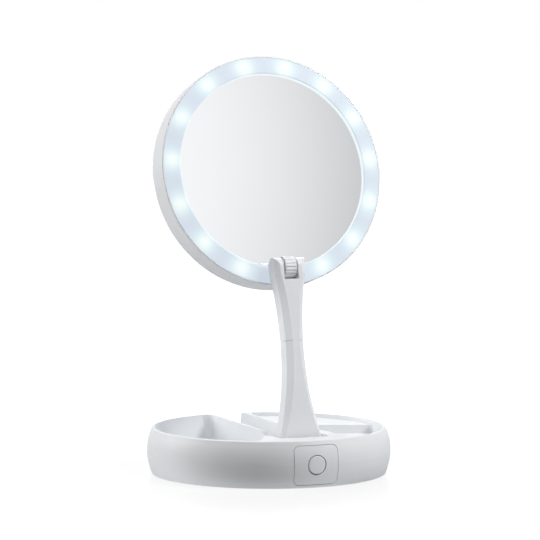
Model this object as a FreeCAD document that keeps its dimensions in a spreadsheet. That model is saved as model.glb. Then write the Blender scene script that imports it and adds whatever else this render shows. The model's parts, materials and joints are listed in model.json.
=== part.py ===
import FreeCAD, Part
import math
import os
import Sketcher

# A folding lighted makeup mirror: storage base, waisted arm and lit round head.
# Millimetres and degrees. The base stands on z = 0 about the Z axis and its front is -Y.

DIMENSIONS = (
    ("base_radius", 85, "widest radius of the base, at its seam"),
    ("rim_inset", 3, "how far the rim lies inside the widest radius"),
    ("sole_inset", 3.2, "how far the underside edge lies inside the widest radius"),
    ("base_height", 32, "height of the rim"),
    ("seam_height", 16.8, "height of the joint between the two base shells"),
    ("seam_bevel", 0.15, "bevel on both shells along their joint"),
    ("rim_round", 1.2, "rounding on the outer edge of the rim"),
    ("rim_width", 2.6, "width of the rim between its outer and inner edges"),
    ("base_wall", 2.4, "wall of the base shells"),
    ("foot_stand", 0.5, "height of the underside above the table"),
    ("tray_floor", 7.5, "height of the floor in the deep tray"),
    ("tray_slope", 0.14, "inward slope of the tray wall"),
    ("tray_skin", 1.8, "wall of the deep tray"),
    ("tray_corner", 7, "corner radius of the deep tray"),
    ("tray_bow", 125, "radius of the bowed wall between the deep tray and the channel"),
    ("channel_half_rear", 11.8, "half width of the arm channel at the rear"),
    ("channel_floor", 13.5, "height of the channel floor"),
    ("channel_skin", 2.2, "wall of the arm channel"),
    ("flare_rear", 18, "where the channel begins to flare, in front of the centre"),
    ("flare_length", 24, "length of the channel flare"),
    ("cheek_left", 7.2, "hinge cheek between the channel and the deep tray"),
    ("cheek_right", 9.2, "hinge cheek between the channel and the shallow tray"),
    ("deck_drop", 3, "depth of the deck under the rim"),
    ("pocket_lift", 6.2, "floor of the shallow front tray above the seam"),
    ("pocket_edge_rear", 24, "rear end of the slanting step between deck and tray"),
    ("pocket_edge_fall", 24, "how far the step slants forwards"),
    ("pocket_corner", 5, "corner radius of the shallow tray"),
    ("foot_axis_inset", 29, "foot hinge axis inside the widest radius"),
    ("foot_axis_height", 22, "height of the foot hinge axis"),
    ("hinge_clearance", 1.5, "space between the foot of the arm and the channel front"),
    ("pin_radius", 2, "radius of both hinge pins"),
    ("running_gap", 0.05, "radial gap of a turning fit"),
    ("loose_gap", 0.15, "gap beside washers and inside screw holes"),
    ("washer_radius", 5.4, "radius of the foot hinge washers"),
    ("foot_washer", 1.5, "thickness of a foot hinge washer"),
    ("clip_thickness", 1, "thickness of the spring clip on the foot pin"),
    ("clip_gap", 0.2, "gap beside the spring clip"),
    ("clip_spread", 1.6, "spring clip beyond the radius of the pin"),
    ("pin_groove", 0.6, "depth of the clip groove in the foot pin"),
    ("blind_skin", 2, "cheek left at the blind end of the foot pin"),
    ("arm_angle", 10.3, "how far the open arm leans back"),
    ("fold_offset", 1, "how much shorter the arm is than a centred fold needs"),
    ("foot_front_width", 27.4, "front face of the arm at the foot"),
    ("foot_rear_width", 32, "whole arm at the foot"),
    ("foot_rise", 6, "height of the straight sides of the foot"),
    ("waist_share", 0.56, "place of the waist along the arm"),
    ("waist_front_width", 5, "front face of the arm at the waist"),
    ("waist_rear_width", 13, "whole arm at the waist"),
    ("neck_share", 0.86, "place of the neck along the arm"),
    ("neck_front_width", 10.6, "front face of the arm at the neck"),
    ("neck_rear_width", 18, "whole arm at the neck"),
    ("crown_share", 0.965, "place along the arm where the fork reaches its full width"),
    ("crown_front_width", 16, "front face over the fork at the top of the arm"),
    ("crown_width", 22.6, "width over the fork at the top of the arm"),
    ("arm_half_depth", 6.6, "half depth of the arm"),
    ("bevel_end", 3, "side bevel ends this far in front of the middle of the arm"),
    ("shoulder_back", 1.5, "joint of the arm shells behind the middle of the arm"),
    ("arm_wall", 1.8, "wall of the arm shells"),
    ("groove_height", 74.5, "groove around the arm above the foot axis"),
    ("groove_width", 0.7, "width of the groove around the arm"),
    ("groove_depth", 0.4, "depth of the groove around the arm"),
    ("cover_low", 10, "lower end of the rear cover along the arm"),
    ("cover_high", 14, "upper end of the rear cover, below the head hinge"),
    ("cover_gap", 0.12, "joint around the rear cover"),
    ("fork_slot", 10.6, "width of the slot in the fork"),
    ("ear_skin", 1.2, "closed end of the bore in the fork"),
    ("drum_radius", 7.4, "radius of the ribbed drum"),
    ("drum_width", 7.8, "width of the ribbed drum"),
    ("head_washer_radius", 4.6, "radius of the head hinge washers"),
    ("drum_clearance", 1.2, "space under the drum in the fork"),
    ("rib_count", 18, "ribs around the drum"),
    ("rib_groove_radius", 0.8, "radius of the grooves between the ribs"),
    ("rib_groove_rise", 0.2, "groove centres outside the drum"),
    ("knuckle_flange", 2, "thickness of the flange of the knuckle"),
    ("knuckle_screw_side", 3.5, "knuckle screws beside the neck"),
    ("knuckle_reach", 7, "flange of the knuckle beside the neck"),
    ("neck_trim", 0.4, "neck of the knuckle inside the round of the drum"),
    ("web_boss", 3, "height of the screw bosses behind the web"),
    ("boss_skin", 0.5, "closed end of a screw boss behind the web"),
    ("head_inset", 4, "how much smaller the head is than the base in radius"),
    ("head_depth", 22, "depth of the head from rim to back"),
    ("head_tilt", 13.3, "how far the head leans back"),
    ("rim_below_axis", 11, "how far the head reaches below its hinge axis"),
    ("hinge_lead", 9.8, "hinge axis in front of the head rim"),
    ("head_wall", 2, "wall of the head shell"),
    ("head_lip", 1, "lip of the head shell around the light ring"),
    ("lip_round", 0.6, "rounding of the lip of the head shell"),
    ("lens_width", 12, "width of the light ring"),
    ("lens_rise", 1.2, "how far the inner edge of the light ring stands proud"),
    ("lens_thickness", 2.4, "thickness of the light ring"),
    ("lens_gap", 0.1, "gap around the light ring"),
    ("lens_edge", 1.2, "bevel on the inner edge of the light ring"),
    ("notch_gap", 0.6, "gap beside the knuckle in the ring and its board"),
    ("mirror_recess", 1, "mirror surface behind the head rim"),
    ("mirror_thickness", 2, "thickness of both mirrors"),
    ("mirror_tuck", 1.4, "how far the mirror reaches under the light ring"),
    ("pad_thickness", 0.9, "thickness of the mirror pad"),
    ("pad_margin", 5.6, "mirror pad inside the edge of the mirror"),
    ("carrier_skin", 1.4, "wall of the mirror carrier"),
    ("web_depth", 9.5, "front of the web in the head shell behind the rim"),
    ("web_thickness", 2, "thickness of the web"),
    ("web_hole", 30, "hole in the middle of the web"),
    ("board_thickness", 1.6, "thickness of the circuit boards"),
    ("chip_size", 4, "side of a light chip"),
    ("chip_height", 1.4, "height of a light chip"),
    ("chip_angle", 24, "angle between light chips"),
    ("chip_pairs", 7, "light chips on each side of the hinge"),
    ("bezel_depth", 5.5, "depth of the rear bezel"),
    ("bezel_round", 3, "rounding of the rear bezel"),
    ("bezel_width", 14.5, "width of the rear bezel"),
    ("bezel_bevel", 1, "bevel on the inner edge of the rear bezel"),
    ("spigot", 1.6, "how far the rear bezel reaches into the head shell"),
    ("magnifier_tuck", 2, "how far the magnifier reaches under the bezel"),
    ("magnifier_sag", 3.9, "hollow of the magnifying mirror"),
    ("plate_half_width", 15.7, "half width of the button panel"),
    ("plate_low", 2.6, "lower edge of the button panel"),
    ("plate_top", 3.2, "upper edge of the button panel below the rim"),
    ("plate_corner", 4, "corner radius of the button panel"),
    ("plate_gap", 0.35, "joint around the button panel"),
    ("plate_flange", 1.2, "thickness of the flange behind the button panel"),
    ("button_height", 15.9, "height of the button axis"),
    ("button_radius", 6.2, "radius of the power button"),
    ("button_gap", 0.6, "gap around the power button"),
    ("button_travel", 1.2, "travel of the power button"),
    ("button_round", 0.8, "rounding of the button face"),
    ("button_dome", 0.2, "rise in the middle of the button face"),
    ("stem_step", 0.6, "button stem beyond the plunger and its flange"),
    ("switch_half", 3.6, "half side of the switch body"),
    ("switch_depth", 5, "depth of the switch body"),
    ("plunger_radius", 1.6, "radius of the switch plunger"),
    ("plunger_reach", 2.2, "how far the switch plunger stands out"),
    ("board_standoff", 1.5, "switch board in front of the channel wall"),
    ("board_drop", 8.6, "lower edge of the switch board below the button axis"),
    ("board_top", 4.3, "upper edge of the switch board below the panel edge"),
    ("board_edge", 1, "boss of a board screw inside the edge of the board"),
    ("plunger_hold", 1.75, "how deep the plunger sits in the switch body"),
    ("cell_radius", 5.25, "radius of a battery cell"),
    ("cell_length", 44.5, "length of a battery cell with its cap"),
    ("cell_cap", 1, "height of the cap on a battery cell"),
    ("cell_pitch", 11, "distance between battery cells"),
    ("cell_count", 4, "battery cells side by side"),
    ("spring_length", 4.2, "length of a compressed battery spring"),
    ("contact_plate", 0.6, "thickness of a battery contact plate"),
    ("bay_height", 14.8, "height of the battery bay ceiling"),
    ("bay_wall", 1.6, "wall of the battery bay"),
    ("bay_clearance", 0.25, "battery bay beside the channel wall"),
    ("bay_back", 2, "middle of the battery bay behind the centre"),
    ("door_gap", 0.35, "joint around the battery door"),
    ("door_thickness", 2, "thickness of the battery door"),
    ("door_sink", 0.1, "battery door above the underside"),
    ("pad_radius", 5, "radius of a rubber foot"),
    ("pad_recess", 1, "depth of the seat of a rubber foot"),
    ("foot_share", 0.82, "place of the rubber feet along the radius"),
    ("foot_angle", 36.87, "direction of the rubber feet from the sides"),
    ("screw_radius", 1.4, "radius of a base screw"),
    ("screw_head_radius", 2.7, "radius of a base screw head"),
    ("screw_head_height", 1.5, "height of a base screw head"),
    ("screw_sink", 0.4, "base screw heads above the underside"),
    ("screw_skin", 1, "material left above a screw hole"),
    ("boss_radius", 3.4, "radius of a base screw boss"),
    ("boss_joint", 7, "height where the screw bosses of the shells meet"),
    ("small_screw_radius", 1, "radius of a small screw"),
    ("small_head_radius", 2, "radius of a small screw head"),
    ("small_head_height", 1.2, "height of a small screw head"),
    ("small_boss_radius", 2.7, "radius of a small screw boss"),
    ("screw_bite", 2, "how far a small screw reaches into its boss"),
    ("arm_screw_sink", 0.3, "arm screw heads below the rear cover"),
    ("arm_screw_low", 22, "lower arm screw above the foot axis"),
    ("arm_screw_high", 16, "upper arm screw below the end of the cover"),
    ("lead_radius", 0.9, "radius of the lead in the arm"),
    ("lead_side", 3.7, "lead beside the middle of the arm"),
    ("lead_back", 0.9, "lead behind the joint of the arm shells"),
)


class Size:
    """A length or angle that carries its value and the cell formula behind it."""

    def __init__(self, value, text):
        self.value = value
        self.text = text

    def __add__(self, other):
        other = size(other)
        return Size(self.value + other.value, f"({self.text} + {other.text})")

    def __sub__(self, other):
        other = size(other)
        return Size(self.value - other.value, f"({self.text} - {other.text})")

    def __mul__(self, other):
        other = size(other)
        return Size(self.value * other.value, f"({self.text} * {other.text})")

    def __truediv__(self, other):
        other = size(other)
        return Size(self.value / other.value, f"({self.text} / {other.text})")

    def __neg__(self):
        return Size(-self.value, f"(0 - {self.text})")

    def __radd__(self, other):
        return size(other) + self

    def __rsub__(self, other):
        return size(other) - self

    def __rmul__(self, other):
        return size(other) * self


def size(value):
    if isinstance(value, Size):
        return value
    return Size(float(value), f"({float(value)!r})")


def root_of(value):
    return Size(math.sqrt(value.value), f"sqrt({value.text})")


def sine(angle):
    return Size(math.sin(math.radians(angle.value)), f"sin({angle.text})")


def cosine(angle):
    return Size(math.cos(math.radians(angle.value)), f"cos({angle.text})")


doc = FreeCAD.newDocument("makeup_mirror")
sheet = doc.addObject("Spreadsheet::Sheet", "Params")
for row, (alias, number, meaning) in enumerate(DIMENSIONS, 1):
    sheet.set(f"A{row}", meaning)
    sheet.set(f"B{row}", str(number))
    sheet.setAlias(f"B{row}", alias)
doc.recompute()


class Sheet:
    """The driving dimensions by name."""


d = Sheet()
for alias, number, meaning in DIMENSIONS:
    setattr(d, alias, Size(float(sheet.get(alias)), f"Params.{alias}"))

X_AXIS = FreeCAD.Vector(1, 0, 0)
Y_AXIS = FreeCAD.Vector(0, 1, 0)
Z_AXIS = FreeCAD.Vector(0, 0, 1)
ZERO = size(0)
HALF = 0.5
QUARTER_TURN = 90
FULL_TURN = 360
OVERCUT = 3
OVERLAP = 1
UPRIGHT = 0.99
SHARP = 0.1
nodes = []


def bind(thing, prop, value):
    thing.setExpression(prop, size(value).text)


def place(thing, x=ZERO, y=ZERO, z=ZERO, axis=None, angle=None):
    """Put a piece at a point, turned about an axis."""
    if axis is not None:
        turn = FreeCAD.Rotation(axis, size(angle).value)
        thing.Placement = FreeCAD.Placement(FreeCAD.Vector(), turn)
        if isinstance(angle, Size):
            bind(thing, "Placement.Rotation.Angle", angle)
    for letter, value in zip("xyz", (x, y, z)):
        bind(thing, f"Placement.Base.{letter}", value)
    return thing


def sketch_in(body, name, role, offset):
    """A sketch on an origin plane of its body, moved along the normal of the plane."""
    planes = [item for item in body.Origin.OriginFeatures if item.Role == role]
    sketch = body.newObject("Sketcher::SketchObject", name)
    sketch.AttachmentSupport = [(planes[0], "")]
    sketch.MapMode = "FlatFace"
    bind(sketch, "AttachmentOffset.Base.z", offset)
    return sketch


def fix(sketch, kind, geometry, point, value):
    index = sketch.addConstraint(Sketcher.Constraint(kind, -1, 1, geometry, point, value.value))
    sketch.setExpression(f"Constraints[{index}]", value.text)


def draw(sketch, corners):
    """A closed outline. A third value on a corner is the radius of the arc to the next corner,
    positive when the centre lies on the left of the way, negative on the right."""
    corners = [tuple(size(value) for value in corner) for corner in corners]
    segments = []
    for index, corner in enumerate(corners):
        following = corners[(index + 1) % len(corners)]
        start = FreeCAD.Vector(corner[0].value, corner[1].value, 0)
        end = FreeCAD.Vector(following[0].value, following[1].value, 0)
        if len(corner) == 2:
            geometry = sketch.addGeometry(Part.LineSegment(start, end))
            segments.append((geometry, 1, 2))
            continue
        radius = abs(corner[2].value)
        chord = end - start
        left = FreeCAD.Vector(-chord.y, chord.x, 0).normalize()
        reach = math.sqrt(max(radius ** 2 - chord.Length ** 2 / 4, 0))
        side = math.copysign(1, corner[2].value)
        centre = (start + end) * 0.5 + left * (reach * side)
        first, last = (start, end) if side > 0 else (end, start)
        angles = [math.atan2(p.y - centre.y, p.x - centre.x) for p in (first, last)]
        if angles[1] < angles[0]:
            angles[1] += 2 * math.pi
        circle = Part.Circle(centre, Z_AXIS, radius)
        geometry = sketch.addGeometry(Part.ArcOfCircle(circle, angles[0], angles[1]))
        segments.append((geometry, 1, 2) if side > 0 else (geometry, 2, 1))
    for index, (geometry, first, last) in enumerate(segments):
        following = segments[(index + 1) % len(segments)]
        sketch.addConstraint(
            Sketcher.Constraint("Coincident", geometry, last, following[0], following[1]))
        fix(sketch, "DistanceX", geometry, first, corners[index][0])
        fix(sketch, "DistanceY", geometry, first, corners[index][1])
        if len(corners[index]) == 3:
            radius = corners[index][2]
            radius = radius if radius.value > 0 else -radius
            bend = sketch.addConstraint(Sketcher.Constraint("Radius", geometry, radius.value))
            sketch.setExpression(f"Constraints[{bend}]", radius.text)


def turned(name, corners):
    """A solid of revolution about Z from an outline of radius and height."""
    body = doc.addObject("PartDesign::Body", name)
    sketch = sketch_in(body, name + "_section", "XZ_Plane", ZERO)
    draw(sketch, corners)
    feature = body.newObject("PartDesign::Revolution", name + "_turn")
    feature.Profile = sketch
    feature.ReferenceAxis = (sketch, ["V_Axis"])
    feature.Angle = FULL_TURN
    body.Tip = feature
    return body


def padded(name, corners, start, length, role="XY_Plane"):
    """A prism on an outline, along +Z, or along -Y for an outline of x and z."""
    body = doc.addObject("PartDesign::Body", name)
    sketch = sketch_in(body, name + "_outline", role, start)
    draw(sketch, corners)
    feature = body.newObject("PartDesign::Pad", name + "_pad")
    feature.Profile = sketch
    bind(feature, "Length", length)
    body.Tip = feature
    return body


def block(name, low, high):
    """A box between two corners."""
    box = doc.addObject("Part::Box", name)
    low = [size(value) for value in low]
    high = [size(value) for value in high]
    for prop, start, end in zip(("Length", "Width", "Height"), low, high):
        bind(box, prop, end - start)
    return place(box, *low)


AXIS_TURNS = {"X": (Y_AXIS, QUARTER_TURN), "Y": (X_AXIS, -QUARTER_TURN), "Z": (None, None)}


def rod(name, radius, length, start, along="Z"):
    """A cylinder that begins at a point and runs along +X, +Y or +Z."""
    cylinder = doc.addObject("Part::Cylinder", name)
    bind(cylinder, "Radius", radius)
    bind(cylinder, "Height", length)
    return place(cylinder, *[size(value) for value in start], *AXIS_TURNS[along])


def frustum(name, low_radius, high_radius, height, start, along="Z"):
    cone = doc.addObject("Part::Cone", name)
    bind(cone, "Radius1", low_radius)
    bind(cone, "Radius2", high_radius)
    bind(cone, "Height", height)
    return place(cone, *[size(value) for value in start], *AXIS_TURNS[along])


def joined(name, pieces, merge_faces=True):
    fusion = doc.addObject("Part::MultiFuse", name)
    fusion.Shapes = pieces
    fusion.Refine = merge_faces
    return fusion


def cut(name, base, tools, merge_faces=True):
    difference = doc.addObject("Part::Cut", name)
    difference.Base = base
    difference.Tool = tools[0] if len(tools) == 1 else joined(name + "_tools", tools, merge_faces)
    difference.Refine = merge_faces
    return difference


def common(name, first, second):
    overlap = doc.addObject("Part::Common", name)
    overlap.Base = first
    overlap.Tool = second
    return overlap


def rounded(name, base, radius, wanted):
    """Round the edges that a test picks."""
    doc.recompute()
    fillet = doc.addObject("Part::Fillet", name)
    fillet.Base = base
    edges = [index for index, edge in enumerate(base.Shape.Edges, 1) if wanted(base.Shape, edge)]
    fillet.Edges = [(index, radius.value, radius.value) for index in edges]
    return fillet


def group(name, pieces):
    """Separate solids that make one piece of the list."""
    compound = doc.addObject("Part::Compound", name)
    compound.Links = pieces
    return compound


def keep(label, thing):
    """Name a finished piece."""
    thing.Label = label
    nodes.append(thing)
    return thing


def upright_corner(shape, edge):
    """An upright edge between two faces that meet at an angle."""
    if not isinstance(edge.Curve, Part.Line):
        return False
    if abs(edge.tangentAt(edge.FirstParameter).z) < UPRIGHT:
        return False
    point = edge.Vertexes[0].Point
    faces = shape.ancestorsOfType(edge, Part.Face)
    normals = [face.normalAt(*face.Surface.parameter(point)) for face in faces]
    return len(normals) == 2 and normals[0].getAngle(normals[1]) > SHARP


# Shared places
rim_radius = d.base_radius - d.rim_inset
sole_radius = d.base_radius - d.sole_inset
tray_radius = rim_radius - d.rim_width
foot_y = d.foot_axis_inset - d.base_radius
foot_z = d.foot_axis_height
head_radius = d.base_radius - d.head_inset
hinge_drop = head_radius - d.rim_below_axis
arm_length = hinge_drop - foot_y - d.fold_offset
axis_y = foot_y + arm_length * sine(d.arm_angle)
axis_z = foot_z + arm_length * cosine(d.arm_angle)
head_y = axis_y + hinge_drop * sine(d.head_tilt) + d.hinge_lead * cosine(d.head_tilt)
head_z = axis_z + hinge_drop * cosine(d.head_tilt) - d.hinge_lead * sine(d.head_tilt)
foot_half = d.foot_rear_width / 2
channel_half_front = foot_half + d.foot_washer + d.loose_gap * 2
cheek_half_left = channel_half_front + d.cheek_left
cheek_half_right = channel_half_front + d.cheek_right
plate_high = d.base_height - d.plate_top
channel_front = foot_y - d.arm_half_depth - d.hinge_clearance
flare_front = -(d.flare_rear + d.flare_length)
far = d.base_radius * 2
above = d.base_height + OVERCUT


def in_arm(thing):
    """Place a piece drawn along the arm from the foot axis."""
    return place(thing, ZERO, foot_y, foot_z, X_AXIS, -d.arm_angle)


def in_head(thing):
    """Place a piece drawn with the head centre at the origin and its face towards +Z."""
    return place(thing, ZERO, head_y, head_z, X_AXIS, QUARTER_TURN - d.head_tilt)


def bend_radius(across, along):
    """Radius of an arc that leaves a line along it and moves across by the given amount."""
    return (across * across + along * along) / (2 * across)


def double_bend(offset, length):
    """Radius of each half of an S bend."""
    return (length * length + offset * offset) / (4 * offset)


# Base shells
low_rise = d.seam_height - d.seam_bevel - d.foot_stand
high_rise = d.base_height - d.rim_round - d.seam_height - d.seam_bevel
low_bend = bend_radius(d.sole_inset, low_rise)
high_bend = bend_radius(d.rim_inset, high_rise)


def skin(name, depth):
    """The outside of the base, both shells, with every radius less by a depth."""
    return turned(name, [
        (0, d.foot_stand),
        (sole_radius - depth, d.foot_stand, low_bend),
        (d.base_radius - depth, d.seam_height - d.seam_bevel),
        (d.base_radius - depth, d.seam_height + d.seam_bevel, high_bend),
        (rim_radius - depth, d.base_height - d.rim_round),
        (0, d.base_height - d.rim_round)])


def channel_outline(extra, rear):
    """Plan of the arm channel, widened on every side but the rear."""
    narrow = d.channel_half_rear + extra
    wide = channel_half_front + extra
    middle = (narrow + wide) / 2
    halfway = -(d.flare_rear + d.flare_length / 2)
    bend = double_bend(wide - narrow, d.flare_length)
    return [
        (-narrow, rear),
        (-narrow, -d.flare_rear, -bend),
        (-middle, halfway, bend),
        (-wide, flare_front),
        (-wide, channel_front - extra),
        (wide, channel_front - extra),
        (wide, flare_front, bend),
        (middle, halfway, -bend),
        (narrow, -d.flare_rear),
        (narrow, rear)]


inner_half = d.channel_half_rear + d.channel_skin


def side_outline(cheek, radius):
    """Plan of the space on the right of the channel, inside a circle."""
    middle = (inner_half + cheek) / 2
    halfway = -(d.flare_rear + d.flare_length / 2)
    bend = double_bend(cheek - inner_half, d.flare_length)
    rear = root_of(radius * radius - inner_half * inner_half)
    front = root_of(radius * radius - cheek * cheek)
    return [
        (inner_half, rear),
        (inner_half, -d.flare_rear, bend),
        (middle, halfway, -bend),
        (cheek, flare_front),
        (cheek, -front, radius),
        (radius, 0, radius)]


def tray_outline(radius):
    """Plan of the deep tray beside the channel, its wall bowed towards the front."""
    bow_centre = inner_half + d.tray_bow
    rear = root_of(radius * radius - inner_half * inner_half)
    corner_x = (d.tray_bow * d.tray_bow - radius * radius - bow_centre * bow_centre) / (2 * bow_centre)
    corner_y = -root_of(radius * radius - corner_x * corner_x)
    return [
        (-inner_half, rear),
        (-inner_half, 0, -d.tray_bow),
        (corner_x, corner_y, -radius),
        (-radius, 0, -radius)]


upper_blank = turned("upper_blank", [
    (0, d.seam_height),
    (d.base_radius - d.seam_bevel, d.seam_height),
    (d.base_radius, d.seam_height + d.seam_bevel, high_bend),
    (rim_radius, d.base_height - d.rim_round, d.rim_round),
    (rim_radius - d.rim_round, d.base_height),
    (0, d.base_height)])

tray_depth = d.base_height - d.tray_floor
pot_low = d.tray_floor - d.tray_skin
pot_reach = tray_radius - d.tray_slope * (d.base_height - pot_low) + d.tray_skin
pot_top = tray_radius - d.tray_slope * (d.base_height - d.seam_height) + d.tray_skin
pot = common(
    "pot",
    frustum("pot_cone", pot_reach, pot_top, d.seam_height - pot_low, (0, 0, pot_low)),
    block("pot_side", (-far, -far, 0), (-d.channel_half_rear, far, d.seam_height)))
trough = common(
    "trough",
    padded("trough_blank", channel_outline(d.channel_skin, far),
           d.channel_floor - d.channel_skin, d.seam_height - d.channel_floor + d.channel_skin),
    rod("trough_round", pot_top, d.seam_height, (0, 0, 0)))

tray_plan = rounded(
    "tray_plan",
    padded("tray_blank", tray_outline(tray_radius),
           d.tray_floor, tray_depth + OVERCUT),
    d.tray_corner, upright_corner)
tray_space = common(
    "tray_space", tray_plan,
    frustum("tray_cone", tray_radius - d.tray_slope * tray_depth,
            tray_radius + d.tray_slope * OVERCUT, tray_depth + OVERCUT, (0, 0, d.tray_floor)))

channel_space = padded("channel_space", channel_outline(ZERO, far), d.seam_height,
                       above - d.seam_height)
channel_low = common(
    "channel_low",
    padded("channel_low_blank", channel_outline(ZERO, far), d.channel_floor,
           d.seam_height - d.channel_floor + OVERLAP),
    rod("channel_round", pot_top - d.channel_skin, d.base_height, (0, 0, 0)))

right_plan = side_outline(cheek_half_right, tray_radius)
deck_space = rounded(
    "deck_space",
    padded("deck_plan", right_plan, d.base_height - d.deck_drop, d.deck_drop + OVERCUT),
    d.pocket_corner, upright_corner)
step_slope = d.pocket_edge_fall / (tray_radius - inner_half)


def step_y(x, shift):
    return d.pocket_edge_rear - step_slope * (x - inner_half) + shift


def before_step(name, shift, low, high):
    """Everything in front of the slanting step."""
    return padded(name, [
        (0, -far),
        (far, -far),
        (far, step_y(far, shift)),
        (0, step_y(ZERO, shift))], low, high - low)


pocket_floor = d.seam_height + d.pocket_lift
pocket_space = rounded(
    "pocket_space",
    common("pocket_sharp",
           padded("pocket_plan", right_plan, pocket_floor, above - pocket_floor),
           before_step("pocket_front", ZERO, pocket_floor, above)),
    d.pocket_corner, upright_corner)

deck_under = d.base_height - d.deck_drop - d.base_wall
pocket_under = pocket_floor - d.base_wall
below_seam = d.seam_height - OVERLAP
hollow_low = padded("hollow_low", right_plan, below_seam, pocket_under - below_seam)
hollow_high = cut(
    "hollow_high",
    padded("hollow_plan", right_plan, below_seam, deck_under - below_seam),
    [before_step("hollow_front", d.base_wall, below_seam - OVERCUT, above)])
apex_drop = d.base_wall * 2
hollow_ring = turned("hollow_ring", [
    (pot_top, below_seam),
    (d.base_radius - d.base_wall, below_seam),
    (d.base_radius - d.base_wall, d.seam_height),
    (rim_radius - d.base_wall / 2, d.base_height - apex_drop),
    (pot_top, d.seam_height)])
bay_ceiling = d.base_height - d.base_wall
front_bay = common(
    "front_bay",
    block("front_bay_box",
          (d.base_wall - cheek_half_left, -far, 0),
          (cheek_half_right - d.base_wall, channel_front - d.channel_skin, bay_ceiling)),
    skin("front_bay_round", d.base_wall))
clip_reach = cheek_half_right - OVERCUT
clip_radius = d.pin_radius + d.clip_spread
clip_room = clip_radius + d.clip_gap * 2
clip_space = block(
    "clip_space",
    (clip_reach, foot_y - clip_room, below_seam),
    (cheek_half_right + OVERLAP, foot_y + clip_room, foot_z + clip_room))


def panel_outline(grow):
    """Rounded outline of the button panel, x and z."""
    half = d.plate_half_width + grow
    low = d.plate_low - grow
    high = plate_high + grow
    corner = d.plate_corner + grow
    return [
        (-half, low + corner, corner),
        (corner - half, low),
        (half - corner, low, corner),
        (half, low + corner),
        (half, high - corner, corner),
        (half - corner, high),
        (corner - half, high, corner),
        (-half, high - corner)]


panel_reach = d.base_radius - d.sole_inset - d.base_wall - OVERCUT
panel_window = padded("panel_window", panel_outline(d.plate_gap), panel_reach, far - panel_reach,
                      role="XZ_Plane")

board_front = channel_front - d.channel_skin - d.board_standoff
board_half = d.plate_half_width
board_screw_x = board_half - d.small_boss_radius - d.board_edge
board_screw_z = d.button_height
left_cheek_bore = cheek_half_left - d.blind_skin
bore = d.pin_radius + d.running_gap


# Base screws as shares of the base radius, behind and beside the centre
CHANNEL_SCREWS = (0.68, -0.29)
DECK_SCREW = (0.32, 0.73)
TRAY_SCREWS = ((0.78, -0.36), (0.41, -0.72))


def base_screw_places():
    """Screw places, each with the height where its boss in the upper shell ends."""
    under_channel = d.channel_floor - d.screw_skin / 2
    under_deck = d.base_height - d.deck_drop - d.screw_skin
    under_tray = pocket_floor - d.screw_skin
    places = [(ZERO, d.base_radius * share, under_channel) for share in CHANNEL_SCREWS]
    places.append((d.base_radius * DECK_SCREW[0], d.base_radius * DECK_SCREW[1], under_deck))
    for side, behind in TRAY_SCREWS:
        places.append((d.base_radius * side, d.base_radius * behind, under_tray))
    return places


upper_bosses = []
pilot_holes = []
for index, (x, y, top) in enumerate(base_screw_places()):
    upper_bosses.append(rod(f"upper_boss_{index}", d.boss_radius, top - d.boss_joint,
                            (x, y, d.boss_joint)))
    pilot_holes.append(rod(f"pilot_{index}", d.screw_radius + d.running_gap,
                           top - d.boss_joint - d.screw_skin + OVERCUT,
                           (x, y, d.boss_joint - OVERCUT)))
for side in (-1, 1):
    upper_bosses.append(rod(f"board_boss_{side + 1}", d.small_boss_radius,
                            d.board_standoff + OVERLAP,
                            (side * board_screw_x, board_front, board_screw_z), "Y"))
    pilot_holes.append(rod(f"board_pilot_{side + 1}", d.small_screw_radius + d.running_gap,
                           d.board_standoff + d.channel_skin,
                           (side * board_screw_x, board_front - OVERLAP, board_screw_z), "Y"))

upper_open = cut("upper_open", joined("upper_solid", [upper_blank, pot, trough]), [
    tray_space, channel_space, channel_low, deck_space, pocket_space, hollow_low, hollow_high,
    hollow_ring, front_bay, clip_space])
upper_drilled = cut(
    "upper_drilled", joined("upper_bossed", [upper_open] + upper_bosses),
    pilot_holes + [
        panel_window,
        rod("foot_bore", bore, left_cheek_bore + clip_reach + OVERLAP,
            (-left_cheek_bore, foot_y, foot_z), "X")])
keep("base_upper_shell", upper_drilled)

floor_top = d.foot_stand + d.base_wall
inner_rise = low_rise - d.base_wall
inner_radius = d.base_radius - d.base_wall
floor_radius = inner_radius - low_bend + root_of(low_bend * low_bend - inner_rise * inner_rise)
lower_cup = turned("lower_cup", [
    (0, d.foot_stand),
    (sole_radius, d.foot_stand, low_bend),
    (d.base_radius, d.seam_height - d.seam_bevel),
    (d.base_radius - d.seam_bevel, d.seam_height),
    (inner_radius, d.seam_height),
    (inner_radius, d.seam_height - d.seam_bevel, -low_bend),
    (floor_radius, floor_top),
    (0, floor_top)])

flare_half = (d.channel_half_rear + channel_half_front) / 2
bay_left = flare_half + d.channel_skin + d.bay_clearance + d.bay_wall
bay_width = d.cell_pitch * d.cell_count
bay_length = d.cell_length + d.spring_length + d.contact_plate + d.loose_gap
bay_front = d.bay_back - bay_length / 2
bay_rear = d.bay_back + bay_length / 2
bay_right = bay_left + bay_width
bay_walls = block(
    "bay_walls",
    (bay_left - d.bay_wall, bay_front - d.bay_wall, d.foot_stand),
    (bay_right + d.bay_wall, bay_rear + d.bay_wall, d.bay_height + d.bay_wall))
bay_space = block("bay_space", (bay_left, bay_front, 0), (bay_right, bay_rear, d.bay_height))

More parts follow.
